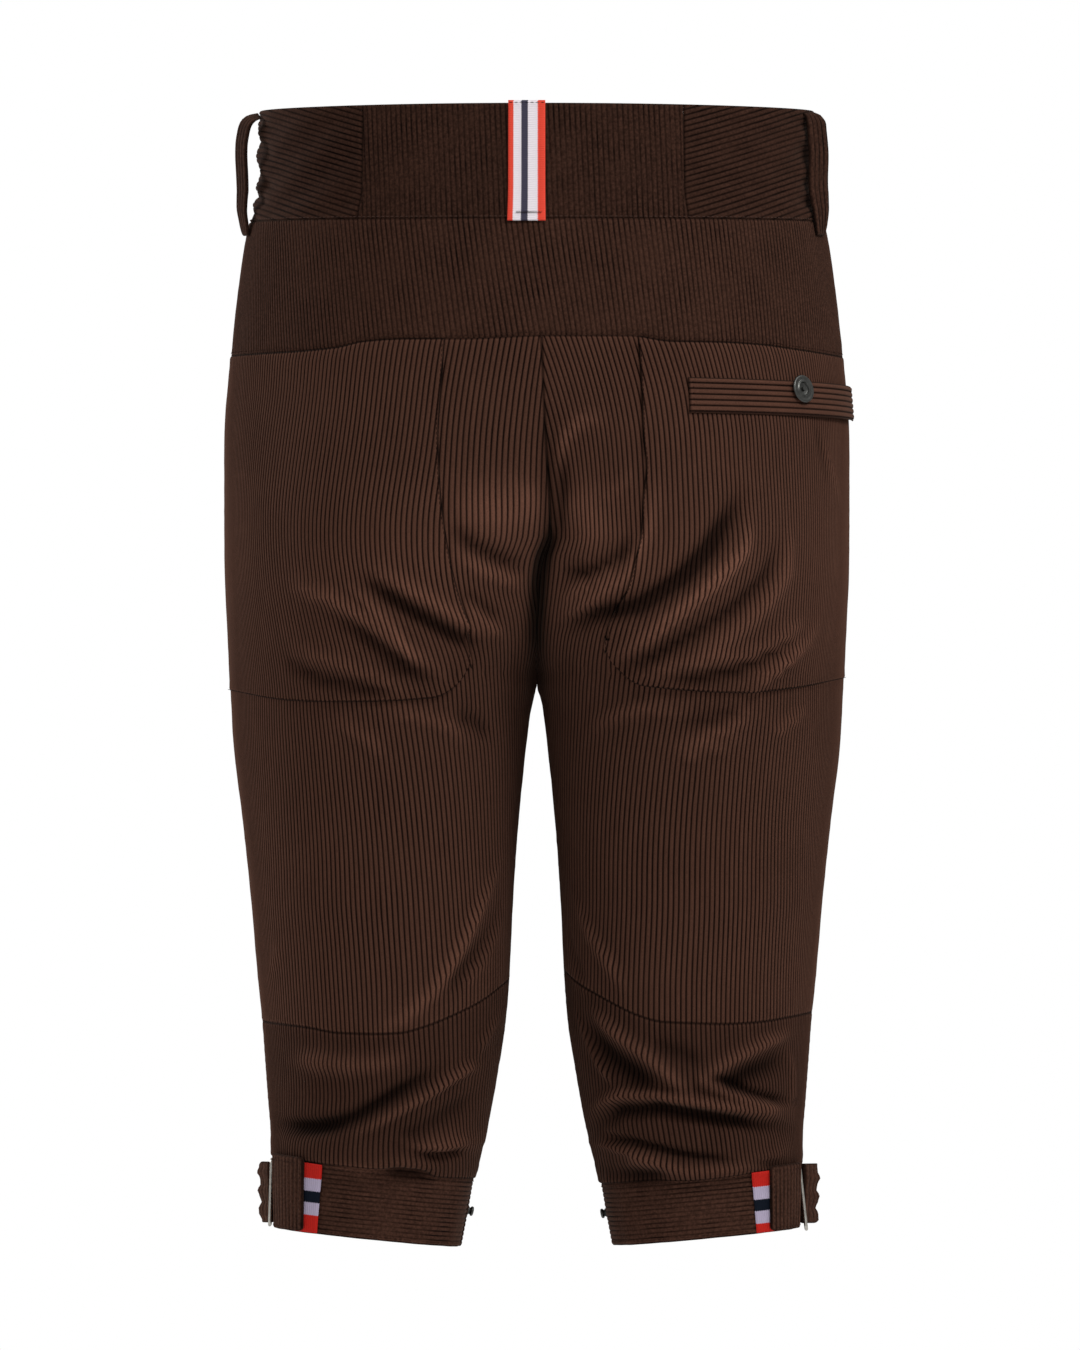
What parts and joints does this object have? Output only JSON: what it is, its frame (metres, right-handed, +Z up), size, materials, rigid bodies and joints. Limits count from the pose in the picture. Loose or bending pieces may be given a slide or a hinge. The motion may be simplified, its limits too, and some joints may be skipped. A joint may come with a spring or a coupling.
{
  "type": "knee breeches",
  "caption": "Corduroy knee breeches filled out with no wearer: deep waistband, yoke, seat patches, rear welt pocket, and buckled cuffs with striped ribbon.",
  "frame": {"origin": "middle of the waist opening, level with the waistband's upper edge, where the wearer's waist holds the garment", "axes": "+Z up, +X towards the wearer's right, -Y the back of the garment"},
  "size_m": [0.4184, 0.2818, 0.7527],
  "materials": {
    "corduroy": "wide-wale cotton corduroy, dark brown",
    "ribbon": "woven ribbon striped red, white and navy",
    "gunmetal": "dark plated metal",
    "antique_silver": "tarnished silver plate"
  },
  "bodies": {
    "root": {"waistband_back": "corduroy", "waistband_side_l": "corduroy", "waistband_side_r": "corduroy", "waistband_front_l": "corduroy", "waistband_front_r": "corduroy", "yoke_back": "corduroy", "back_l": "corduroy", "back_r": "corduroy", "seat_patch_l": "corduroy", "seat_patch_r": "corduroy", "lower_back_l": "corduroy", "lower_back_r": "corduroy", "front_l": "corduroy", "front_r": "corduroy", "fly_placket": "corduroy", "pocket_welt": "corduroy", "pocket_button": "gunmetal", "waist_button": "gunmetal", "belt_ribbon": "ribbon", "belt_loop_l": "corduroy", "belt_loop_r": "corduroy", "cuff_band_l": "corduroy", "cuff_ribbon_l": "ribbon", "cuff_tab_l": "corduroy", "cuff_strap_l": "corduroy", "cuff_buckle_l": "antique_silver", "cuff_stud_l": "gunmetal", "cuff_band_r": "corduroy", "cuff_ribbon_r": "ribbon", "cuff_tab_r": "corduroy", "cuff_strap_r": "corduroy", "cuff_buckle_r": "antique_silver", "cuff_stud_r": "gunmetal"}
  },
  "joints": []
}
